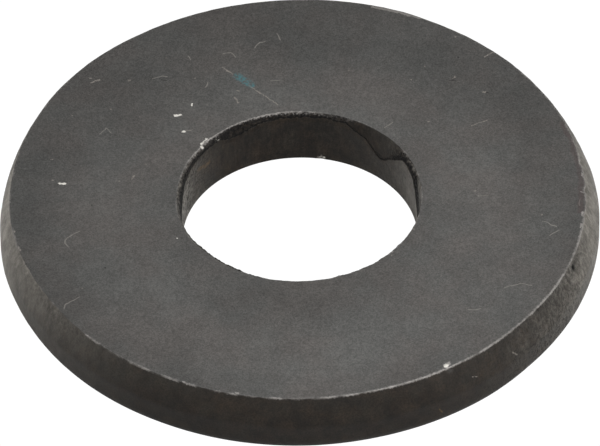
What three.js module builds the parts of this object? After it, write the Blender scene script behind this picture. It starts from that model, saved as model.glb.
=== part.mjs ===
// Flat washer: one flat steel ring, punched from plate, for a 5/8 in or M16 bolt.
//
// Frame: millimetres, +Z along the bore. The origin is the centre of the bottom face, so the
// washer lies on z = 0. The bottom face is the one with rounded edges. The top face is the one
// whose edges broke away, as steel does on the far side of a punch cut.

import * as THREE from 'three';

// Driving dimensions
const OUTSIDE_DIAMETER = 44.45;
const BORE_DIAMETER = 17.46;
const THICKNESS = 4.55;

// How the two cut walls depart from plain cylinders
const RIM_BREAK_DEPTH = 2.15; // the broken band of the rim, measured down from the top face
const RIM_BREAK_SETBACK = 0.87; // how far that band leans in by the time it meets the top face
const RIM_ROLL = 0.92; // radius of the edge between the rim and the bottom face
const BORE_BREAK_DEPTH = 1.1; // the broken band of the bore, measured down from the top face
const BORE_BREAK_SETBACK = 0.32; // how far that band opens out by the time it meets the top face
const BORE_ROLL = 0.2; // radius of the edge between the bore and the bottom face

// Fineness of the round stretches
const TURN_STEPS = 96; // once round the washer
const ROLL_STEPS = 5; // round each rolled edge

const RIM_RADIUS = OUTSIDE_DIAMETER / 2;
const BORE_RADIUS = BORE_DIAMETER / 2;

// Half of the washer's cross-section, to the right of the axis: x is the radius, y the height.
// It starts on the bottom face at the bore and runs out, up the rim, in, and down the bore.
function crossSection() {
  const section = new THREE.Path();
  section.moveTo(BORE_RADIUS + BORE_ROLL, 0);
  section.lineTo(RIM_RADIUS - RIM_ROLL, 0);
  section.absarc(RIM_RADIUS - RIM_ROLL, RIM_ROLL, RIM_ROLL, -Math.PI / 2, 0, false);
  section.lineTo(RIM_RADIUS, THICKNESS - RIM_BREAK_DEPTH);
  section.lineTo(RIM_RADIUS - RIM_BREAK_SETBACK, THICKNESS);
  section.lineTo(BORE_RADIUS + BORE_BREAK_SETBACK, THICKNESS);
  section.lineTo(BORE_RADIUS, THICKNESS - BORE_BREAK_DEPTH);
  section.lineTo(BORE_RADIUS, BORE_ROLL);
  section.absarc(BORE_RADIUS + BORE_ROLL, BORE_ROLL, BORE_ROLL, Math.PI, Math.PI * 1.5, false);
  return section.getPoints(ROLL_STEPS);
}

// Dark oxidised steel, dull on every side
function darkSteel() {
  return new THREE.MeshStandardMaterial({ color: 0x54504e, roughness: 0.6, metalness: 0.85 });
}

function washer() {
  const ring = new THREE.LatheGeometry(crossSection(), TURN_STEPS);
  ring.rotateX(Math.PI / 2); // the lathe's axis is Y
  const mesh = new THREE.Mesh(ring, darkSteel());
  mesh.name = 'washer';
  return mesh;
}

const part = new THREE.Group();
part.add(washer());

export default part;
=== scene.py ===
"""Flat washer: the visual model, camera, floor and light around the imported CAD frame.

The washer is one punched steel ring, dark with oxide. scene.py replaces the plain CAD ring with
a fine mesh of the same sizes. It adds what the punch and handling leave behind: the ragged broken
bands, the wandering crack where the bore's cut tore, worn edges, nicks, scratches, paint and lint.
Lengths are metres, and MM turns millimetres into them. Angles go round +Z from +X, in degrees.
"""

import math

import bpy
import numpy as np
from mathutils import Matrix, Vector, noise


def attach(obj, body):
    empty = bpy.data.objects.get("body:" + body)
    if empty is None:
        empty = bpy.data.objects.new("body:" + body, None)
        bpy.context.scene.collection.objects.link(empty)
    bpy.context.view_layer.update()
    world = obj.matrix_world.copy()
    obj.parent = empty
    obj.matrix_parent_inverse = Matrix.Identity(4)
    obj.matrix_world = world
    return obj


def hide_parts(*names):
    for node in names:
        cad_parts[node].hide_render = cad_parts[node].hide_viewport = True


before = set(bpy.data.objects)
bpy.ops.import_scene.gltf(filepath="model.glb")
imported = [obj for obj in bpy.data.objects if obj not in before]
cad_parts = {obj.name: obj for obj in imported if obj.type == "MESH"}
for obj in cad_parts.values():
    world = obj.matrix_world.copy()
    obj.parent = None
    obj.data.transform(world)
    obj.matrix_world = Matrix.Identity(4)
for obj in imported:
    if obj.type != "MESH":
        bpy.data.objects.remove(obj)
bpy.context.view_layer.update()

MM = 0.001
NODE = "washer"
FAR = 99.0  # a distance in mm that stands for "nowhere near"

# Fineness of the mesh: the steps round the ring, and the rows of each stretch of its section
TURN_STEPS = 1080
RIM_BREAK_ROWS = 16
RIM_LAND_ROWS = 5
RIM_ROLL_ROWS = 8
BORE_ROLL_ROWS = 6
BORE_LAND_ROWS = 8
BORE_BREAK_ROWS = 13

# Sizes of the wear on the section
EDGE_SAG = 0.02 * MM  # how far a worn edge sinks below the face
EDGE_SAG_REACH = 0.1 * MM  # how soon that sinking fades on the face
EDGE_ROUND = 0.05 * MM  # how tall the rounding of the rim's worn edge is
LAND_INSET = 0.012 * MM  # how far the sheared bands lie behind the CAD's walls
RIM_BULGE = 0.1  # how far the rim's broken band bellies out of a straight lean, in mm

# How marks are bent: the size of the bends, then how far they reach along x, y and z, in mm
JAGGED_FACE = (0.22, (0.26, 0.26, 0))
JAGGED_WALL = (0.22, (0, 0, 0.26))

PALE_RING_CENTRE = (0.0, -3.6, 4.5)  # the middle of the paler ring on the face, in mm

# The tables below go round the ring as (angle, value), with straight lines between.

# How far the rim falls short of a true circle, in mm
RIM_INSET = (
    (0, -0.02), (12, 0.03), (25, 0.08), (33, 0.14), (42, 0.12), (58, 0.1), (68, 0.02), (130, 0.0),
    (145, 0.04), (155, 0.11), (165, 0.12), (175, 0.04), (183, -0.04), (190, -0.05), (198, 0.02),
    (206, 0.05), (214, 0.03), (230, 0.02), (242, 0.03), (255, 0.0), (272, 0.0), (284, 0.06),
    (308, 0.1), (320, 0.19), (330, 0.13), (345, 0.05),
)

# How much further in the rim's top edge alone lies, in mm
RIM_EDGE_INSET = (
    (0, 0.2), (12, 0.2), (25, 0.08), (35, 0.0), (62, 0.0), (68, -0.05), (85, -0.04), (95, 0.0),
    (122, 0.0), (135, -0.09), (150, -0.16), (165, -0.17), (178, -0.12), (195, -0.04), (215, 0.05),
    (225, 0.0), (332, 0.0), (348, 0.12),
)

# How far the bore's top edge stands out from a true circle, in mm
BORE_OUTSET = (
    (0, 0.0), (170, 0.0), (185, 0.08), (195, 0.13), (208, 0.13), (220, 0.03), (300, 0.02),
    (311, 0.08), (322, 0.02),
)

# The crack where the bore's cut tore away, as mm below the top face
BORE_TEAR = (
    (0, 3.0), (4, 2.7), (7, 2.3), (10, 1.7), (12, 1.2), (15, 0.7), (19, 0.4), (26, 0.3),
    (31, 0.6), (34, 1.05), (38, 1.5), (42, 2.1), (45, 2.4), (49, 2.2), (51, 1.85), (55, 1.15),
    (62, 0.7), (66, 0.35), (75, 0.22), (95, 0.25), (107, 0.34), (112, 0.52), (116, 0.74),
    (122, 0.86), (126, 0.8), (131, 0.36), (148, 0.3), (158, 0.36), (165, 0.5), (170, 0.85),
    (174, 1.35), (179, 1.8), (186, 2.1), (200, 1.2), (215, 0.5), (240, 0.35), (262, 0.7),
    (290, 0.4), (325, 0.6), (342, 1.6), (352, 2.8),
)

# How tall that crack is, in mm
CRACK_HEIGHT = (
    (0, 0.3), (10, 0.4), (25, 0.35), (34, 0.2), (45, 0.15), (60, 0.1), (140, 0.12), (150, 0.25),
    (165, 0.35), (185, 0.3), (220, 0.15), (330, 0.15), (350, 0.3),
)

# How far up the broken band the crack's black reaches, as a share. That black is painted shade of the
# crack
CRACK_REACH = (
    (0, 0.45), (8, 0.6), (25, 0.55), (33, 0.25), (38, 0.05), (60, 0.0), (138, 0.0), (148, 0.35),
    (160, 0.5), (180, 0.5), (200, 0.2), (240, 0.0), (330, 0.0), (350, 0.3),
)

# How black and rough the broken band above that crack is, as a share: partly its own rough black steel,
# partly painted shade where the band is undercut
BORE_BLACK_AND_SHADE = (
    (0, 0.2), (8, 0.15), (15, 0.7), (30, 0.8), (37, 0.3), (43, 0.05), (58, 0.1), (64, 0.5),
    (70, 0.9), (100, 1.0), (128, 1.0), (138, 0.65), (146, 0.6), (154, 0.35), (166, 0.45),
    (174, 0.8), (185, 0.5), (215, 0.5), (262, 0.7), (325, 0.3),
)

# How black and rough the top of the rim's broken band is, as a share
RIM_BLACK = (
    (0, 0.2), (10, 0.25), (20, 0.15), (30, 0.1), (170, 0.1), (198, 0.2), (214, 0.25), (224, 0.15),
    (235, 0.05), (315, 0.1), (330, 0.35), (342, 0.35), (350, 0.15),
)

# How pale the rim's oxide is at the top edge, as a share: partly real scuffs, partly a painted sheen,
# highest at the left and right where the wall is seen edge-on. More than 1 leaves fewer dark patches
RIM_SCUFF_AND_SHEEN = (
    (0, 0.6), (10, 0.6), (25, 0.4), (60, 0.1), (130, 0.1), (155, 0.4), (168, 0.75), (178, 1.3),
    (186, 1.05), (195, 0.78), (205, 0.52), (214, 0.33), (225, 0.14), (235, 0.07), (250, 0.045),
    (270, 0.025), (290, 0.01), (298, 0.045), (304, 0.04), (312, 0.03), (330, 0.14), (342, 0.38),
    (352, 0.6),
)

# The same below the broken band
RIM_SCUFF_AND_SHEEN_LOW = (
    (0, 0.55), (10, 0.55), (25, 0.35), (60, 0.1), (130, 0.1), (155, 0.3), (168, 0.7), (178, 1.2),
    (186, 1.05), (192, 0.85), (198, 0.42), (205, 0.28), (214, 0.15), (225, 0.06), (238, 0.0),
    (296, 0.0), (312, 0.03), (330, 0.17), (342, 0.4), (352, 0.55),
)

# How strongly the rim's wall is streaked and peppered, as a share
RIM_STREAKS = (
    (0, 0.12), (30, 0.05), (160, 0.0), (228, 0.0), (290, 0.05), (312, 0.35), (322, 0.5),
    (334, 0.55), (342, 0.35), (350, 0.18),
)

# How strongly the bore's wall is streaked and peppered, as a share
BORE_PEPPER = (
    (0, 0.3), (20, 0.2), (45, 0.2), (60, 0.25), (80, 0.0), (120, 0.0), (135, 0.25), (148, 0.6),
    (158, 0.9), (185, 0.9), (200, 0.3), (320, 0.1),
)

# How pale the oxide of the bore's wall is, as a share: partly real scuffs, partly a painted sheen,
# highest at the left and right where the wall is seen edge-on
BORE_SCUFF_AND_SHEEN = (
    (0, 0.55), (10, 0.55), (20, 0.42), (32, 0.19), (45, 0.08), (58, 0.03), (75, 0.0), (130, 0.0),
    (145, 0.07), (158, 0.24), (165, 0.33), (175, 0.45), (190, 0.5), (220, 0.1), (320, 0.1),
    (345, 0.4),
)

# How brightly the rim's top edge is worn, as a share
RIM_WEAR = (
    (0, 0.45), (10, 0.45), (20, 0.3), (30, 0.35), (34, 0.75), (38, 0.7), (43, 0.3), (60, 0.4),
    (66, 0.8), (73, 1.0), (77, 0.4), (100, 0.2), (140, 0.3), (178, 0.35), (190, 0.2), (200, 0.12),
    (218, 0.12), (223, 0.35), (230, 0.2), (240, 0.4), (258, 0.3), (266, 0.3), (278, 0.4),
    (290, 0.65), (330, 0.68), (340, 0.55), (348, 0.45),
)

# How brightly the bore's top edge is worn, as a share
BORE_WEAR = (
    (0, 0.3), (15, 0.15), (60, 0.15), (78, 0.25), (86, 0.5), (98, 0.7), (118, 0.7), (130, 0.85),
    (142, 0.9), (150, 0.6), (165, 0.3), (185, 0.2), (230, 0.3), (270, 0.2), (300, 0.35),
    (330, 0.3), (345, 0.2),
)

# Knocks that move the surface: which surface, angle, mm below the top face, reach and depth in mm
DENTS = (
    ("rim_edge", 300.3, 0.0, 0.42, 0.16),
    ("rim_edge", 257.0, 0.0, 0.24, 0.07),
    ("rim_edge", 324.5, 0.2, 0.28, 0.12),
    ("rim_edge", 200.3, 0.1, 0.34, 0.14),
    ("rim_edge", 208.6, 0.1, 0.40, 0.12),
    ("rim_edge", 212.7, 0.1, 0.46, 0.14),
    ("rim_edge", 8.5, 0.0, 0.36, 0.12),
    ("rim_edge", 0.5, 0.0, 0.42, 0.14),
    ("rim_edge", 353.3, 0.0, 0.32, 0.12),
    ("rim", 339.4, 0.5, 0.32, 0.15),
    ("bore_edge", 139.0, 0.0, 0.62, 0.12),
    ("bore_edge", 112.0, 0.0, 0.40, 0.08),
    ("bore_edge", 96.0, 0.0, 0.35, 0.06),
    ("bore_edge", 6.0, 0.0, 0.35, 0.10),
    ("bore", 78.9, 4.25, 0.36, 0.12),
)

# Marks on the top face: half the width, then the places (x, y) along it, in mm
PAINT_FLECKS = (
    (0.11, (-17.75, 1.7), (-17.35, 1.65)),
    (0.11, (-9.2, 8.85), (-8.8, 8.9)),
    (0.08, (-7.9, 10.1), (-7.95, 9.9)),
    (0.11, (-8.55, 7.1)),
    (0.1, (-6.85, 6.3), (-7.25, 5.75)),
    (0.17, (10.5, -18.15)),
    (0.07, (-9.1, -4.35)),
)
SCRATCHES = (
    (0.09, (11.9, 17.0)),
    (0.07, (3.85, 13.45)),
    (0.09, (13.85, 10.85), (13.95, 10.85)),
    (0.1, (13.05, 0.2)),
    (0.05, (-4.6, 11.45), (-4.4, 11.4)),
    (0.06, (-21.1, -3.3), (-21.05, -3.4)),
    (0.07, (8.9, 0.85)),
    (0.045, (-5.65, 14.05), (-4.85, 13.25)),
    (0.07, (-15.45, 12.55), (-14.85, 12.85)),
    (0.05, (-15.6, 13.05), (-15.45, 13.05)),
    (0.08, (-12.6, 12.75)),
    (0.07, (-11.8, 8.75)),
    (0.06, (-16.85, 9.0)),
    (0.05, (-15.6, 11.25)),
    (0.07, (8.5, 12.35)),
    (0.06, (9.55, 13.75)),
    (0.05, (-3.65, 11.95), (-1.5, 9.85)),
    (0.07, (-4.7, 10.7), (-4.45, 10.1)),
    (0.07, (-12.4, 2.05), (-12.25, 2.4)),
    (0.05, (6.45, 7.2), (7.05, 7.7)),
    (0.06, (14.05, 14.75), (14.7, 15.25)),
    (0.045, (12.9, 7.2), (13.45, 7.55), (14.1, 7.8)),
    (0.03, (13.2, -0.35), (14.0, -0.25)),
    (0.035, (-8.55, 7.1), (-7.9, 7.25)),
    (0.07, (-9.85, 15.15)),
    (0.07, (-7.65, 12.9)),
    (0.07, (-6.8, 9.95)),
    (0.06, (-18.45, 4.3), (-18.25, 4.3)),
    (0.08, (-13.35, 1.8)),
    (0.07, (-11.4, 3.6)),
    (0.1, (-18.3, 2.05)),
    (0.08, (-14.0, 9.65)),
    (0.07, (9.7, 7.75)),
    (0.06, (10.35, -8.8)),
    (0.08, (11.8, 12.6), (11.65, 12.45)),
    (0.08, (17.9, -2.45)),
    (0.06, (-20.75, -5.0), (-20.65, -5.4)),
    (0.08, (-16.05, -9.5)),
    (0.07, (6.7, -6.5)),
    (0.07, (9.0, 0.8)),
    (0.07, (8.4, -3.8)),
)
LINT = (
    (0.05, (-3.1, 16.1), (-2.8, 16.7), (-2.35, 16.8)),
    (0.045, (-5.6, 15.5), (-5.05, 15.7), (-4.6, 15.05)),
    (0.04, (-1.5, 17.65), (-1.3, 16.95)),
    (0.045, (-10.8, 12.9), (-10.2, 13.1), (-9.75, 13.1)),
    (0.045, (-6.75, 12.45), (-6.9, 11.8)),
    (0.035, (-2.0, 12.45), (-1.35, 12.55)),
    (0.035, (-8.2, 15.35), (-7.9, 14.9)),
    (0.035, (17.85, -3.15), (18.45, -3.45), (18.95, -3.75)),
    (0.045, (18.45, -4.6), (18.8, -4.3), (19.1, -4.1)),
    (0.04, (14.95, -10.1), (15.4, -9.9), (16.0, -9.8), (16.45, -9.8), (16.95, -9.9)),
    (0.05, (12.25, -12.35), (13.15, -12.35)),
    (0.04, (-14.85, 6.95), (-14.4, 7.55), (-13.95, 7.05)),
    (0.03, (20.7, -1.55), (20.75, -0.85)),
    (0.05, (-16.3, -3.45), (-16.85, -3.85), (-17.25, -4.4), (-17.3, -4.7), (-17.1, -5.1)),
    (0.05, (-16.25, -10.45), (-16.6, -10.75), (-16.95, -10.95), (-17.3, -11.2), (-17.4, -11.6)),
)
BARE_SPOTS = (
    (0.16, (10.45, -18.25), (10.7, -17.95)),
    (0.09, (-4.8, -20.65), (-4.7, -20.75)),
    (0.07, (-15.8, -14.35), (-15.65, -14.5)),
    (0.06, (-8.75, -19.4), (-8.55, -19.5)),
    (0.1, (20.9, 3.3), (20.9, 2.95)),
    (0.07, (21.0, 1.9), (21.0, 1.65)),
    (0.06, (20.85, -0.05), (21.1, -0.15)),
    (0.11, (20.95, -2.25), (20.9, -2.6)),
    (0.07, (20.8, -3.5), (20.7, -3.85)),
    (0.11, (9.3, 19.1), (7.4, 19.9), (5.7, 20.45)),
)
DARK_SPECKS = (
    (0.1, (12.05, 14.7)),
    (0.05, (11.4, 12.2), (11.75, 12.2)),
    (0.045, (-10.35, 12.85), (-9.75, 12.65)),
    (0.05, (14.05, 10.8), (14.25, 10.8)),
    (0.07, (-14.35, -7.4)),
    (0.09, (-20.25, -6.8)),
    (0.08, (-19.4, -9.0)),
    (0.08, (-18.7, -10.35)),
    (0.1, (-17.9, -11.5)),
    (0.07, (-17.6, -12.2)),
    (0.07, (-15.35, -0.7)),
    (0.04, (-17.95, 1.55), (-17.35, 1.5)),
)
TEAL_SMUDGE = (
    (0.33, (-4.5, 13.0), (-3.5, 12.05)),
)
# A dark purplish strip on the face along the right top edge
DARK_EDGE_STRIP = (
    (0.22, (20.75, -2.2), (20.9, 1.5), (20.35, 5.2), (19.65, 7.4)),
)

# Marks on the walls: half the width in mm, then the places (angle, mm below the top face)
RIM_SCRATCHES = (
    (0.07, (315.0, 1.45), (315.9, 1.85)),
    (0.03, (304.6, 1.35), (305.6, 1.5)),
)
RIM_STAINS = (
    (0.06, (296.8, 2.9), (297.4, 3.3)),
)
# Black painted into the pit on the rim as its shade
RIM_PIT_SHADE = (
    (0.28, (339.4, 0.5)),
)
BORE_STAINS = (
    (0.18, (140.0, 1.8), (143.0, 1.9)),
    (0.18, (144.5, 1.7), (149.0, 1.5)),
)
BORE_FLECKS = (
    (0.17, (132.8, 0.35)),
    (0.15, (143.0, 0.1)),
    (0.1, (77.6, 4.3), (79.6, 4.3)),
)
BORE_SCRATCHES = (
    (0.16, (77.5, 4.35), (80.0, 4.35)),
    (0.12, (78.9, 4.15)),
)


# ---------------------------------------------------------------- sizes read from the frame


def cad_sizes():
    """The ring's own sizes, from the vertices of the CAD node."""
    points = np.array([v.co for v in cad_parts[NODE].data.vertices])
    radius = np.hypot(points[:, 0], points[:, 1])
    height = points[:, 2]
    near = 0.001 * MM
    on_top = height > height.max() - near
    on_bottom = height < height.min() + near
    at_rim = radius > radius.max() - near
    at_bore = radius < radius.min() + near
    return {
        "thickness": height.max(),
        "rim": radius.max(),
        "bore": radius.min(),
        "top_out": radius[on_top].max(),
        "top_in": radius[on_top].min(),
        "rim_roll": radius.max() - radius[on_bottom].max(),
        "bore_roll": radius[on_bottom].min() - radius.min(),
        "rim_break": height.max() - height[at_rim].max(),
        "bore_break": height.max() - height[at_bore].max(),
    }


SIZE = cad_sizes()
TURN = np.linspace(0, 2 * math.pi, TURN_STEPS, endpoint=False)


def at_angle(knots, angle):
    """The value of (angle, value) knots at any angle in degrees."""
    return np.interp(np.asarray(angle), [a for a, _ in knots], [v for _, v in knots], period=360)


def on_face(x, y):
    """A point of the top face, in mm."""
    return Vector((x, y, SIZE["thickness"] / MM))


def on_wall(radius, angle, depth):
    """A point at a radius and an angle, that depth below the top face, in mm."""
    a = math.radians(angle)
    return Vector((radius * math.cos(a), radius * math.sin(a), SIZE["thickness"] / MM - depth))


def on_rim(angle, depth):
    """A point of the rim's wall, that depth below the top face, in mm."""
    leaning = min(1.0, depth * MM / SIZE["rim_break"])
    straight = SIZE["top_out"] + (SIZE["rim"] - SIZE["top_out"]) * leaning
    inset = at_angle(RIM_INSET, angle) + at_angle(RIM_EDGE_INSET, angle) * (1 - leaning)
    radius = straight / MM + RIM_BULGE * math.sin(math.pi * leaning) - float(inset)
    return on_wall(radius, angle, depth)


def on_bore(angle, depth):
    """A point of the bore's wall, that depth below the top face, in mm."""
    leaning = max(0.0, 1 - depth * MM / SIZE["bore_break"])
    radius = SIZE["bore"] + (SIZE["top_in"] - SIZE["bore"]) * leaning
    return on_wall(radius / MM, angle, depth)


# ---------------------------------------------------------------- the ring's mesh


def round_the_ring(knots):
    return at_angle(knots, np.degrees(TURN))


def ripple(grain, octaves, seed, radius, level=0.0):
    """Smooth noise round the ring, from about -1 to 1. grain is its size in mm along a circle
    of that radius in mm, and level moves to another height of the same noise."""
    turn = radius / grain
    values = [
        noise.fractal(
            Vector((turn * math.cos(a), turn * math.sin(a), level / grain + seed)), 0.7, 2.1, octaves
        )
        for a in TURN
    ]
    return np.array(values)


class Section:
    """The ring's section, row by row. Each row is a loop round the ring with its own radius,
    height and surface values at each angle. The material reads the values by name:
    wall   1 on a cut wall and 0 on a face
    bore   1 in the bore and 0 elsewhere
    edge   mm from the nearest top edge
    wear   how brightly that edge is worn
    black  how black and rough the broken steel is, in the bore partly painted shade of its undercut band
    crack  1 in the bore's crack, fading up the broken band above it, where black is painted as the
    crack's shade scuff  how pale the oxide is, partly from real scuffs and partly a painted sheen
    grit   how streaked or peppered the oxide is"""

    def __init__(self):
        self.radius, self.height, self.values = [], [], []

    def row(self, radius, height, **values):
        full = np.ones(TURN_STEPS)
        self.radius.append(radius * full)
        self.height.append(height * full)
        self.values.append({name: value * full for name, value in values.items()})

    def points(self):
        radius, height = np.array(self.radius), np.array(self.height)
        return np.stack([radius * np.cos(TURN), radius * np.sin(TURN), height], -1)

    def mesh(self, name):
        """One closed skin through all the rows."""
        points = self.points()
        for dent in DENTS:
            knock(points, *dent)
        rows = len(points)
        index = np.arange(rows * TURN_STEPS).reshape(rows, TURN_STEPS)
        below = np.roll(index, -1, axis=0)
        faces = np.stack([index, np.roll(index, -1, 1), np.roll(below, -1, 1), below], -1)
        mesh = bpy.data.meshes.new(name)
        mesh.from_pydata(points.reshape(-1, 3).tolist(), [], faces.reshape(-1, 4).tolist())
        for key in sorted({k for row in self.values for k in row}):
            layer = mesh.attributes.new(key, "FLOAT", "POINT")
            data = np.array([row.get(key, np.zeros(TURN_STEPS)) for row in self.values])
            layer.data.foreach_set("value", data.astype(np.float32).ravel())
        mesh.validate()
        mesh.update()
        mesh.shade_smooth()
        return mesh


def knock(points, where, angle, depth, reach, sink):
    """Push the points near a place of the rim or the bore into the metal."""
    inward = -1.0 if where.startswith("rim") else 1.0
    centre = on_rim(angle, depth) if inward < 0 else on_bore(angle, depth)
    a = math.radians(angle)
    down = -1.0 if where.endswith("edge") else 0.0
    push = Vector((inward * math.cos(a), inward * math.sin(a), down)).normalized()
    gap = np.linalg.norm(points - np.array(centre * MM), axis=-1) / (reach * MM)
    share = np.clip(1 - gap ** 2, 0, 1) ** 1.5
    points += share[..., None] * np.array(push) * sink * MM


def top_face(section, inner, outer):
    """The top face between its two ragged edges, from the bore outwards. Rows crowd at the edges."""
    span = outer - inner
    near_edge = (0.003, 0.007, 0.014, 0.028, 0.06, 0.13, 0.27)
    shares = near_edge + (0.5,) + tuple(1 - share for share in reversed(near_edge))
    for share in shares:
        inward = min(share, 1 - share) * span
        section.row(
            inner + share * span,
            SIZE["thickness"] - EDGE_SAG * np.exp(-inward / EDGE_SAG_REACH),
            edge=inward / MM,
            wear=round_the_ring(BORE_WEAR if share < 0.5 else RIM_WEAR),
        )


def rim(section, edge):
    """The worn edge, the broken band, the sheared band and the rolled edge at the bottom."""
    land = SIZE["rim"] - MM * round_the_ring(RIM_INSET) - LAND_INSET
    wander = 0.22 * ripple(5, 3, 5.0, radius=22) + 0.05 * ripple(0.8, 2, 6.0, radius=22)
    break_depth = SIZE["rim_break"] + MM * wander
    rim_worn_edge(section, edge)
    rim_broken_band(section, edge, land, break_depth)
    rim_sheared_band(section, land, break_depth)
    rim_rolled_edge(section, land)


def rim_worn_edge(section, edge):
    wear = round_the_ring(RIM_WEAR)
    black = round_the_ring(RIM_BLACK)
    scuff = round_the_ring(RIM_SCUFF_AND_SHEEN)
    streaks = round_the_ring(RIM_STREAKS)
    for k in (1, 2, 3):
        a = math.pi / 2 * k / 4
        section.row(
            edge + EDGE_ROUND * math.sin(a) * 0.6,
            SIZE["thickness"] - EDGE_SAG - EDGE_ROUND * (1 - math.cos(a)),
            edge=0.0, wall=k / 3, wear=wear, black=black * k / 4, scuff=scuff, grit=streaks,
        )


def rim_broken_band(section, edge, land, break_depth):
    wear = round_the_ring(RIM_WEAR)
    black = round_the_ring(RIM_BLACK)
    scuff = round_the_ring(RIM_SCUFF_AND_SHEEN)
    scuff_and_sheen_low = round_the_ring(RIM_SCUFF_AND_SHEEN_LOW)
    streaks = round_the_ring(RIM_STREAKS)
    start = EDGE_SAG + EDGE_ROUND
    from_edge = edge + 0.03 * MM
    for k in range(1, RIM_BREAK_ROWS + 1):
        share = k / RIM_BREAK_ROWS
        depth = start + (break_depth - start) * share
        lean = from_edge + (land - from_edge) * share
        bulge = RIM_BULGE * MM * math.sin(math.pi * share)
        level = 2.0 * share
        rough = 0.012 * ripple(0.5, 4, 21.0, radius=22, level=level)
        upper = black * math.exp(-((2.2 * share) ** 3))
        pitted = 0.10 * upper * (ripple(0.7, 4, 23.0, radius=22, level=level) - 0.5)
        section.row(
            lean + bulge + MM * math.sin(math.pi * share) ** 0.5 * (rough + pitted),
            SIZE["thickness"] - depth,
            edge=depth / MM, wall=1, wear=wear, black=upper, grit=streaks,
            scuff=scuff + (scuff_and_sheen_low - scuff) * share,
        )


def rim_sheared_band(section, land, break_depth):
    scuff = round_the_ring(RIM_SCUFF_AND_SHEEN_LOW)
    streaks = round_the_ring(RIM_STREAKS)
    bottom = SIZE["rim_roll"]
    for k in range(1, RIM_LAND_ROWS + 1):
        share = k / RIM_LAND_ROWS
        height = (SIZE["thickness"] - break_depth) * (1 - share) + bottom * share
        dimple = MM * 0.006 * ripple(0.4, 3, 31.0, radius=22, level=share * 1.5)
        section.row(land + dimple, height, edge=FAR, wall=1, scuff=scuff, grit=streaks)


def rim_rolled_edge(section, land):
    scuff = round_the_ring(RIM_SCUFF_AND_SHEEN_LOW)
    streaks = round_the_ring(RIM_STREAKS)
    roll = SIZE["rim_roll"]
    for k in range(1, RIM_ROLL_ROWS + 1):
        share = k / RIM_ROLL_ROWS
        a = math.pi / 2 * share
        dimple = MM * 0.006 * ripple(0.6, 3, 41.0, radius=22, level=k * 0.15) * math.cos(a)
        # Paler towards the bottom of the roll: a painted reflection of the floor below
        section.row(
            land - roll * (1 - math.cos(a)) + dimple,
            roll * (1 - math.sin(a)),
            edge=FAR, wall=1 - share ** 3, scuff=scuff * (1 + 1.5 * share), grit=streaks,
        )


def bottom_face(section):
    outer = SIZE["rim"] - SIZE["rim_roll"] - MM * round_the_ring(RIM_INSET)
    inner = SIZE["bore"] + SIZE["bore_roll"]
    for share in (0.04, 0.12, 0.3, 0.5, 0.7, 0.88, 0.96, 1.0):
        section.row(outer + (inner - outer) * share, 0.0, edge=FAR)


def bore(section, edge):
    """The rolled edge at the bottom, the sheared band, the crack and the broken band above it."""
    wander = 0.1 * ripple(0.8, 4, 51.0, radius=9) + 0.08 * ripple(0.25, 2, 53.0, radius=9)
    tear = MM * (round_the_ring(BORE_TEAR) + wander)
    lip = MM * round_the_ring(CRACK_HEIGHT) * (0.8 + 0.4 * ripple(1.0, 3, 55.0, radius=9))
    land = SIZE["bore"] + LAND_INSET
    step = MM * (0.04 + 0.02 * ripple(1.5, 2, 73.0, radius=9))
    bore_rolled_edge(section)
    bore_sheared_band(section, land, SIZE["thickness"] - tear - lip)
    bore_crack(section, land, step, tear, lip)
    bore_broken_band(section, edge, land + step, tear - 0.5 * lip)
    bore_worn_edge(section, edge)


def bore_rolled_edge(section):
    scuff = round_the_ring(BORE_SCUFF_AND_SHEEN)
    pepper = round_the_ring(BORE_PEPPER)
    roll = SIZE["bore_roll"]
    for k in range(1, BORE_ROLL_ROWS + 1):
        share = k / BORE_ROLL_ROWS
        a = math.pi / 2 * share
        section.row(
            SIZE["bore"] + roll * (1 - math.sin(a)),
            roll * (1 - math.cos(a)),
            edge=FAR, wall=share ** 0.5, bore=1, scuff=scuff, grit=pepper * 0.6,
        )


def bore_sheared_band(section, land, upper_end):
    wear = round_the_ring(BORE_WEAR)
    scuff = round_the_ring(BORE_SCUFF_AND_SHEEN)
    pepper = round_the_ring(BORE_PEPPER)
    roll = SIZE["bore_roll"]
    for k in range(1, BORE_LAND_ROWS + 1):
        share = k / BORE_LAND_ROWS
        height = roll + (upper_end - roll) * share
        streak = MM * 0.008 * ripple(0.3, 3, 61.0, radius=9, level=share * 0.3)
        section.row(
            land + streak, height,
            edge=(SIZE["thickness"] - height) / MM, wall=1, bore=1, wear=wear, scuff=scuff,
            grit=pepper * (0.6 + 0.4 * share),
        )


def bore_crack(section, land, step, tear, lip):
    """A groove under the broken band, as deep as the noise makes it."""
    wear = round_the_ring(BORE_WEAR)
    black = round_the_ring(BORE_BLACK_AND_SHADE)
    groove = MM * (0.07 + 0.04 * ripple(1.2, 3, 71.0, radius=9))
    for out, up, crack in ((0.02 * MM, -0.5, 0.7), (groove, 0.0, 1.0), (step, 0.5, 0.8)):
        section.row(
            land + out, SIZE["thickness"] - tear + up * lip,
            edge=tear / MM, wall=1, bore=1, wear=wear, crack=crack, black=black,
        )


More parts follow.
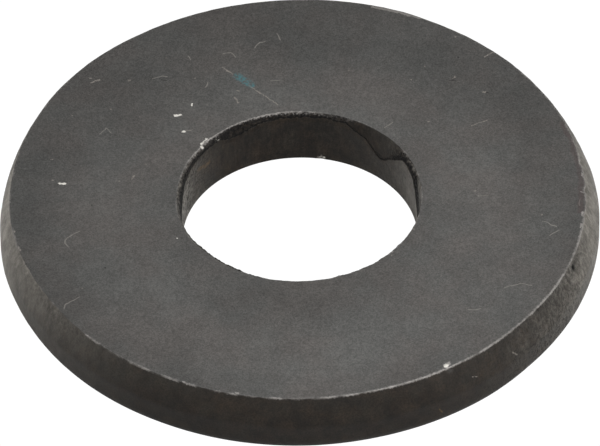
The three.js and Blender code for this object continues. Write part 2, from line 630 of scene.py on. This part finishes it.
def bore_broken_band(section, edge, foot, foot_depth):
    """The torn steel from the foot, at its radius and depth, up to the worn edge."""
    wear = round_the_ring(BORE_WEAR)
    black = round_the_ring(BORE_BLACK_AND_SHADE)
    scuff = round_the_ring(BORE_SCUFF_AND_SHEEN)
    pepper = round_the_ring(BORE_PEPPER)
    reach = round_the_ring(CRACK_REACH) * (1 + 0.7 * ripple(0.5, 4, 75.0, radius=9))
    for k in range(1, BORE_BREAK_ROWS + 1):
        share = k / BORE_BREAK_ROWS
        depth = foot_depth * (1 - share) + (EDGE_SAG + 0.03 * MM) * share
        wide = foot + (edge - foot) * share ** 1.4
        lumps = ripple(0.4, 4, 81.0, radius=9, level=share * 1.2)
        rough = MM * (0.012 + 0.045 * black) * math.sin(math.pi * share) ** 0.5 * lumps
        section.row(
            wide + rough, SIZE["thickness"] - depth,
            edge=depth / MM, wall=1, bore=1, wear=wear, black=black, scuff=scuff * share,
            grit=pepper, crack=np.clip((reach + 0.1 - share) / 0.2, 0, 1),
        )


def bore_worn_edge(section, edge):
    wear = round_the_ring(BORE_WEAR)
    black = round_the_ring(BORE_BLACK_AND_SHADE)
    for k in (2, 1):
        a = math.pi / 2 * k / 3
        section.row(
            edge + 0.025 * MM * (1 - math.sin(a)),
            SIZE["thickness"] - EDGE_SAG * (2 - math.cos(a)),
            edge=0.0, wall=k / 3, bore=k / 3, wear=wear, black=black * k / 3,
        )


def build_ring():
    ragged = 0.5 + round_the_ring(RIM_BLACK)
    rim_edge = SIZE["top_out"] + MM * (
        0.03 * ragged * ripple(1.0, 4, 3.0, radius=21)
        - round_the_ring(RIM_INSET) - round_the_ring(RIM_EDGE_INSET)
    )
    ragged = 0.4 + round_the_ring(BORE_WEAR)
    bore_edge = SIZE["top_in"] + MM * (
        0.045 * ragged * ripple(0.7, 4, 9.0, radius=9) + 0.02 * ripple(2.5, 2, 11.0, radius=9)
        + round_the_ring(BORE_OUTSET)
    )
    section = Section()
    top_face(section, bore_edge, rim_edge)
    rim(section, rim_edge)
    bottom_face(section)
    bore(section, bore_edge)
    return section.mesh(NODE + "_ring")


ring = bpy.data.objects.new(NODE + "_ring", build_ring())
bpy.context.scene.collection.objects.link(ring)


# ---------------------------------------------------------------- material nodes


class Tree:
    """Short ways to add nodes to a node tree. An input may be a number, a tuple or a socket."""

    def __init__(self, tree):
        self.nodes, self.links = tree.nodes, tree.links
        self.nodes.clear()

    def add(self, kind, inputs, **properties):
        node = self.nodes.new(kind)
        for name, value in properties.items():
            setattr(node, name, value)
        for key, value in inputs.items():
            if isinstance(value, bpy.types.NodeSocket):
                self.links.new(value, node.inputs[key])
            else:
                node.inputs[key].default_value = value
        return node

    def math(self, operation, a, b=0.0):
        return self.add("ShaderNodeMath", {0: a, 1: b}, operation=operation).outputs[0]

    def times(self, *factors):
        product = factors[0]
        for factor in factors[1:]:
            product = self.math("MULTIPLY", product, factor)
        return product

    def most(self, a, b):
        return self.math("MAXIMUM", a, b)

    def clamp(self, value):
        return self.add("ShaderNodeClamp", {0: value}).outputs[0]

    def vector(self, operation, a, b=(0, 0, 0)):
        return self.add("ShaderNodeVectorMath", {0: a, 1: b}, operation=operation).outputs[0]

    def measure(self, operation, a, b=(0, 0, 0)):
        """The number that a vector operation such as a dot product or a distance gives."""
        return self.add("ShaderNodeVectorMath", {0: a, 1: b}, operation=operation).outputs["Value"]

    def ramp(self, value, low, high, to_low=0.0, to_high=1.0):
        """value from low to high becomes to_low to to_high, smoothly, and stays there outside."""
        inputs = {0: value, 1: low, 2: high, 3: to_low, 4: to_high}
        return self.add("ShaderNodeMapRange", inputs, interpolation_type="SMOOTHSTEP").outputs[0]

    def noise(self, place, size, detail=3.0, roughness=0.55, stretch=(1, 1, 1)):
        """Noise from 0 to 1 with grains of that size in mm, longer along axes with low stretch."""
        at = self.vector("MULTIPLY", place, stretch)
        inputs = {"Vector": at, "Scale": 1 / size, "Detail": detail, "Roughness": roughness}
        return self.add("ShaderNodeTexNoise", inputs).outputs[0]

    def shifted(self, place, seed):
        return self.vector("ADD", place, (seed, 1.7 * seed, -2.3 * seed))

    def warped(self, place, size, reach):
        """The place moved about by noise of that size in mm, so that straight marks bend. reach is
        how far it moves along x, y and z, in mm."""
        inputs = {"Vector": place, "Scale": 1 / size, "Detail": 1.0}
        bend = self.add("ShaderNodeTexNoise", inputs).outputs["Color"]
        bend = self.vector("SUBTRACT", bend, (0.5, 0.5, 0.5))
        return self.vector("ADD", place, self.vector("MULTIPLY", bend, reach))

    def mix(self, share, a, b):
        inputs = {"Factor": share, 6: a, 7: b}
        return self.add("ShaderNodeMix", inputs, data_type="RGBA").outputs[2]

    def toned(self, colour, tone):
        """A colour made lighter or darker by a number."""
        inputs = {0: colour, "Scale": tone}
        return self.add("ShaderNodeVectorMath", inputs, operation="SCALE").outputs[0]

    def between(self, share, a, b):
        return self.add("ShaderNodeMix", {"Factor": share, 2: a, 3: b}, data_type="FLOAT").outputs[0]

    def value(self, name):
        return self.add("ShaderNodeAttribute", {}, attribute_name=name).outputs["Fac"]

    def line(self, place, start, end, half_width):
        """1 on the line from start to end, falling to 0 just outside its half width."""
        along = end - start
        away = self.vector("SUBTRACT", place, start)
        reach = self.measure("DOT_PRODUCT", away, along / max(along.length_squared, 1e-6))
        nearest = self.toned(tuple(along), self.clamp(reach))
        gap = self.measure("LENGTH", self.vector("SUBTRACT", away, nearest))
        return self.ramp(gap, half_width * 0.4, half_width * 1.35, 1.0, 0.0)

    def marks(self, place, surface, rows):
        """The most that any mark of a table covers, with its places found on the surface. A mark
        with one place is a dot."""
        cover = 0.0
        for half_width, *places in rows:
            points = [surface(*spot) for spot in places]
            for start, end in zip(points, points[1:] or points):
                cover = self.most(cover, self.line(place, start, end, half_width))
        return cover


# ---------------------------------------------------------------- the steel

# Linear colours
FACE_OXIDE_COOL = (0.0662, 0.0658, 0.0628, 1)
FACE_OXIDE_WARM = (0.0698, 0.0655, 0.0616, 1)
WALL_OXIDE_WARM = (0.0124, 0.0084, 0.0053, 1)
WALL_OXIDE_COOL = (0.0104, 0.0084, 0.006, 1)
# Pale oxide, for real scuffs and for the painted sheen on the walls' edge-on sides
PALE_OXIDE_AND_SHEEN = (0.3, 0.28, 0.245)
# Black of the broken bands: rough steel, and in the bore painted shade of the undercut band
BROKEN_BLACK_AND_SHADE = (0.003, 0.0023, 0.0019, 1)
# Painted shade in the bore's crack
CRACK_SHADE_BLACK = (0.0015, 0.0012, 0.001, 1)
# Black of the dark specks on the face, and painted shade in the rim's pit
SPECK_AND_PIT_SHADE_BLACK = (0.001, 0.001, 0.001, 1)
LINT_GREY = (0.24, 0.225, 0.205, 1)
SCRATCH_GREY = (0.26, 0.235, 0.21, 1)
RUST = (0.1, 0.066, 0.031, 1)
TEAL = (0.05, 0.14, 0.155, 1)
BROWN = (0.055, 0.036, 0.035, 1)
BARE_STEEL = (0.27, 0.255, 0.24, 1)
PAINT = (0.62, 0.6, 0.55, 1)


def face_colour(t, place):
    """Dull grey oxide: a paler ring that darkens towards the outer edge, soft clouds of two hues and
    fine grain.
    """
    cloud = t.noise(place, 6.0, 3)
    mottle = t.noise(t.shifted(place, 31), 1.1, 3)
    speck = t.noise(t.shifted(place, 47), 0.28, 2)
    grain = t.noise(place, 0.1, 2, 0.7)
    tone = t.ramp(cloud, 0.25, 0.75, 0.9, 1.1)
    tone = t.times(tone, t.ramp(mottle, 0.2, 0.8, 0.92, 1.08))
    tone = t.times(tone, t.ramp(speck, 0.2, 0.8, 0.88, 1.12))
    tone = t.times(tone, t.ramp(grain, 0.2, 0.8, 0.6, 1.4))
    # Paler in a ring round a point in front of the middle, and darker towards the outer edge, most at
    # the back
    where_pale = t.measure("DISTANCE", t.warped(place, 5.0, (3.0, 3.0, 3.0)), PALE_RING_CENTRE)
    tone = t.times(tone, t.ramp(where_pale, 8.0, 12.5, 0.9, 1.07), t.ramp(where_pale, 14.5, 21.0, 1.0, 0.77))
    hue = t.noise(t.shifted(place, 63), 5.0, 3)
    return t.toned(t.mix(t.ramp(hue, 0.32, 0.68), FACE_OXIDE_COOL, FACE_OXIDE_WARM), tone)


def wall_oxide(t, place, grain):
    """Brown black oxide of the cut walls, with speckles in the bore."""
    mottle = t.noise(t.shifted(place, 12), 1.2, 4, 0.6)
    speckle = t.noise(t.shifted(place, 5), 0.3, 4, 0.7, (1, 1, 0.5))
    tone = t.times(t.ramp(mottle, 0.25, 0.75, 0.6, 1.5), t.ramp(grain, 0.2, 0.8, 0.4, 1.7))
    tone = t.times(tone, t.between(t.value("bore"), 1.0, t.ramp(speckle, 0.3, 0.7, 0.6, 1.6)))
    hue = t.noise(t.shifted(place, 77), 1.4, 3)
    return t.toned(t.mix(t.ramp(hue, 0.3, 0.7), WALL_OXIDE_WARM, WALL_OXIDE_COOL), tone)


def scuff_and_sheen_share(t, place):
    """How pale the walls' oxide is, in upright streaks: partly real scuffs, partly a painted sheen."""
    where_pale = t.noise(t.shifted(place, 91), 0.9, 4, 0.65, (1, 1, 0.5))
    streaks = t.noise(t.shifted(place, 93), 0.22, 3, 0.65, (1, 1, 0.4))
    faint = t.ramp(streaks, 0.3, 0.7, 0.88, 1.12)
    strong = t.ramp(streaks, 0.35, 0.65, 0.2, 2.2)
    streaky = t.between(t.value("grit"), faint, strong)
    return t.clamp(t.times(t.value("scuff"), t.ramp(where_pale, 0.3, 0.7, 0.5, 1.0), streaky))


def broken(t, place):
    """How far the black of the broken bands covers the walls, with the pepper on them. In the bore that
    black is partly painted shade of its undercut band.
    """
    ragged = t.ramp(t.noise(t.shifted(place, 88), 0.3, 4, 0.7), 0.38, 0.6, 0.2, 1.4)
    pepper = t.ramp(t.noise(t.shifted(place, 97), 0.24, 3, 0.7), 0.5, 0.6, 0.0, 0.85)
    return t.clamp(t.most(t.times(t.value("black"), ragged), t.times(t.value("grit"), pepper)))


def wall_colour(t, place):
    """The colour of the cut walls, paled by scuffs and a painted sheen, and how far black, partly
    painted shade, covers them.
    """
    grain = t.noise(place, 0.12, 2, 0.7)
    pale = t.toned(PALE_OXIDE_AND_SHEEN, t.ramp(grain, 0.2, 0.8, 0.85, 1.15))
    colour = t.mix(scuff_and_sheen_share(t, place), wall_oxide(t, place, grain), pale)
    covered = broken(t, place)
    # Black broken steel, in the bore partly painted shade of the undercut band
    colour = t.mix(covered, colour, BROKEN_BLACK_AND_SHADE)
    uneven = t.ramp(t.noise(t.shifted(place, 99), 0.2, 3, 0.6), 0.35, 0.55, 0.35, 1.0)
    # Black painted into the crack's groove and above it, as its shade
    crack = t.times(t.value("crack"), uneven)
    return t.mix(crack, colour, CRACK_SHADE_BLACK), t.most(covered, crack)


def marked(t, place, broken_up, colour):
    """Lint, scratches, stains, the teal smudge and the dark strip along the right edge over a colour."""
    wavy = t.warped(place, 0.8, (0.4, 0.4, 0))
    jagged = t.warped(place, *JAGGED_FACE)
    jagged_wall = t.warped(place, *JAGGED_WALL)
    patchy = t.ramp(broken_up, 0.35, 0.6, 0.35, 1.0)
    thready = t.ramp(broken_up, 0.35, 0.55, 0.65, 1.0)

    lint = t.marks(wavy, on_face, LINT)
    colour = t.mix(t.times(lint, thready, 0.5), colour, LINT_GREY)
    on_walls = t.most(
        t.marks(jagged_wall, on_rim, RIM_SCRATCHES), t.marks(jagged_wall, on_bore, BORE_SCRATCHES)
    )
    scratches = t.most(t.marks(jagged, on_face, SCRATCHES), on_walls)
    colour = t.mix(t.times(scratches, patchy, 0.6), colour, SCRATCH_GREY)
    stains = t.most(
        t.marks(jagged_wall, on_rim, RIM_STAINS), t.marks(jagged_wall, on_bore, BORE_STAINS)
    )
    colour = t.mix(t.times(stains, patchy, 0.65), colour, RUST)
    smudge = t.marks(jagged, on_face, TEAL_SMUDGE)
    dabs = t.ramp(t.noise(t.shifted(place, 3), 0.2, 3, 0.65), 0.38, 0.6)
    colour = t.mix(t.times(smudge, dabs, 0.8), colour, TEAL)
    brown = t.marks(wavy, on_face, DARK_EDGE_STRIP)
    return t.mix(t.times(brown, patchy, 0.5), colour, BROWN)


def worn_edge(t, place):
    """How far the oxide is rubbed off the top edges, in patches."""
    patches = t.noise(t.shifted(place, 19), 0.9, 4, 0.6)
    frayed = t.noise(t.shifted(place, 23), 0.16, 3, 0.6)
    distance = t.math("ADD", t.value("edge"), t.ramp(frayed, 0.25, 0.75, -0.06, 0.06))
    near = t.ramp(distance, 0.0, 0.13, 1.0, 0.0)
    share = t.math("ADD", t.value("wear"), t.ramp(patches, 0.25, 0.75, -0.45, 0.35))
    return t.times(near, t.ramp(share, 0.0, 0.9))


def relief(t, place, wall, covered, flecks):
    """The bump of the fine grain, the broken bands' rough steel and the paint's thickness."""
    fine = t.noise(place, 0.11, 2, 0.6)
    coarse = t.noise(t.shifted(place, 41), 0.35, 3, 0.6)
    depth = t.times(fine, t.between(wall, 0.004, 0.009))
    depth = t.math("ADD", depth, t.times(coarse, t.between(covered, 0.004, 0.05)))
    depth = t.math("ADD", depth, t.times(flecks, 0.03))
    return t.add("ShaderNodeBump", {"Strength": 1.0, "Distance": MM, "Height": depth}).outputs[0]


def dark_steel():
    material = bpy.data.materials.new("dark_steel")
    material.use_nodes = True
    t = Tree(material.node_tree)
    place = t.add("ShaderNodeTexCoord", {}).outputs["Object"]
    place = t.vector("MULTIPLY", place, (1 / MM, 1 / MM, 1 / MM))
    jagged = t.warped(place, *JAGGED_FACE)
    jagged_wall = t.warped(place, *JAGGED_WALL)
    broken_up = t.noise(t.shifted(place, 7), 0.13, 3, 0.6)

    wall = t.value("wall")
    colour_wall, covered = wall_colour(t, place)
    colour = t.mix(wall, face_colour(t, place), colour_wall)
    rough = t.between(wall, 0.55, t.between(covered, 0.5, 0.85))
    colour = marked(t, place, broken_up, colour)

    specks_and_pit_shade = t.times(t.marks(jagged, on_face, DARK_SPECKS), 0.6)
    # The rim's pit gets the same black, as painted shade
    specks_and_pit_shade = t.most(specks_and_pit_shade, t.marks(place, on_rim, RIM_PIT_SHADE))
    colour = t.mix(specks_and_pit_shade, colour, SPECK_AND_PIT_SHADE_BLACK)
    rough = t.between(specks_and_pit_shade, rough, 1.0)

    bare = t.most(worn_edge(t, place), t.marks(jagged, on_face, BARE_SPOTS))
    colour = t.mix(bare, colour, BARE_STEEL)
    rough = t.between(bare, rough, 0.42)

    flecks = t.most(
        t.marks(jagged, on_face, PAINT_FLECKS), t.marks(jagged_wall, on_bore, BORE_FLECKS)
    )
    colour = t.mix(t.times(flecks, 0.9), colour, PAINT)

    shader = t.add(
        "ShaderNodeBsdfPrincipled",
        {
            "Base Color": colour,
            "Metallic": t.times(bare, 0.6),
            "Roughness": rough,
            "Specular IOR Level": 0.25,
            "Normal": relief(t, place, wall, covered, flecks),
        },
    )
    t.add("ShaderNodeOutputMaterial", {"Surface": shader.outputs[0]})
    return material


ring.data.materials.append(dark_steel())
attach(ring, "root")
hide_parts(NODE)


# ---------------------------------------------------------------- floor, light and camera

FLOOR_REACH = 4.0  # from the middle to each side
FLOOR_GREY = (0.55, 0.55, 0.55, 1)  # the floor's colour to everything but the camera
WORLD_BRIGHTNESS = 0.3
WHITE_TO_CAMERA = 1.05


def seen_white(t, other):
    """A shader that is even white to the camera and another to everything else."""
    bright = t.add("ShaderNodeEmission", {"Color": (1, 1, 1, 1), "Strength": WHITE_TO_CAMERA}).outputs[0]
    seen = t.add("ShaderNodeLightPath", {}).outputs["Is Camera Ray"]
    return t.add("ShaderNodeMixShader", {0: seen, 1: other, 2: bright}).outputs[0]


def white_floor():
    """A plain white floor. The camera sees it evenly white, and the washer is lit by it dimmer."""
    mesh = bpy.data.meshes.new("floor")
    side = FLOOR_REACH
    corners = [(-side, -side, 0), (side, -side, 0), (side, side, 0), (-side, side, 0)]
    mesh.from_pydata(corners, [], [(0, 1, 2, 3)])
    material = bpy.data.materials.new("floor_white")
    material.use_nodes = True
    t = Tree(material.node_tree)
    plain = t.add("ShaderNodeBsdfDiffuse", {"Color": FLOOR_GREY}).outputs[0]
    t.add("ShaderNodeOutputMaterial", {"Surface": seen_white(t, plain)})
    mesh.materials.append(material)
    floor = bpy.data.objects.new("floor", mesh)
    bpy.context.scene.collection.objects.link(floor)


def white_world():
    """White to the camera, so that low views have a white ground too."""
    world = bpy.data.worlds.new("studio")
    world.use_nodes = True
    bpy.context.scene.world = world
    t = Tree(world.node_tree)
    seen = t.add("ShaderNodeLightPath", {}).outputs["Is Camera Ray"]
    strength = t.between(seen, WORLD_BRIGHTNESS, WHITE_TO_CAMERA)
    glow = t.add("ShaderNodeBackground", {"Color": (1, 1, 1, 1), "Strength": strength}).outputs[0]
    t.add("ShaderNodeOutputWorld", {"Surface": glow})


def soft_light(name, place, size, watts):
    """A round soft light that faces the washer. The camera doesn't see it."""
    lamp = bpy.data.lights.new(name, "AREA")
    lamp.shape = "DISK"
    lamp.size = size
    lamp.energy = watts
    holder = bpy.data.objects.new(name, lamp)
    holder.location = place
    holder.rotation_mode = "QUATERNION"
    holder.rotation_quaternion = (-Vector(place)).to_track_quat("-Z", "Y")
    holder.visible_camera = False
    bpy.context.scene.collection.objects.link(holder)


ELEVATION = math.radians(43.74)
ROLL = math.radians(-0.88)
CAMERA_DISTANCE = 0.8888
LENS = 720.0
AIM_DOWN = 2.035 * MM
AIM_RIGHT = 0.04 * MM


def make_camera():
    """The camera looks along +Y and down, with a long lens, a little below the top face's centre."""
    top_centre = Vector((0, 0, SIZE["thickness"]))
    back = Vector((0, -math.cos(ELEVATION), math.sin(ELEVATION)))
    right = Vector((1, 0, 0))
    up = back.cross(right)
    turned_right = math.cos(ROLL) * right + math.sin(ROLL) * up
    turned_up = math.cos(ROLL) * up - math.sin(ROLL) * right
    place = top_centre + back * CAMERA_DISTANCE
    aim = top_centre - turned_up * AIM_DOWN + turned_right * AIM_RIGHT
    ahead = (aim - place).normalized()
    side = ahead.cross(turned_up).normalized()
    axes = Matrix((side, side.cross(ahead), -ahead)).transposed()
    data = bpy.data.cameras.new("camera")
    data.lens = LENS
    data.clip_start, data.clip_end = 0.05, 20.0
    camera = bpy.data.objects.new("camera", data)
    camera.matrix_world = Matrix.Translation(place) @ axes.to_4x4()
    bpy.context.scene.collection.objects.link(camera)
    bpy.context.scene.camera = camera


white_floor()
white_world()
soft_light("key", (0.04, -0.065, 0.125), 0.12, 0.22)
soft_light("left", (-0.6, 0.1, 0.3), 0.4, 1.6)
soft_light("right", (0.6, 0.1, 0.3), 0.4, 1.6)
make_camera()
bpy.context.scene.view_settings.view_transform = "Standard"
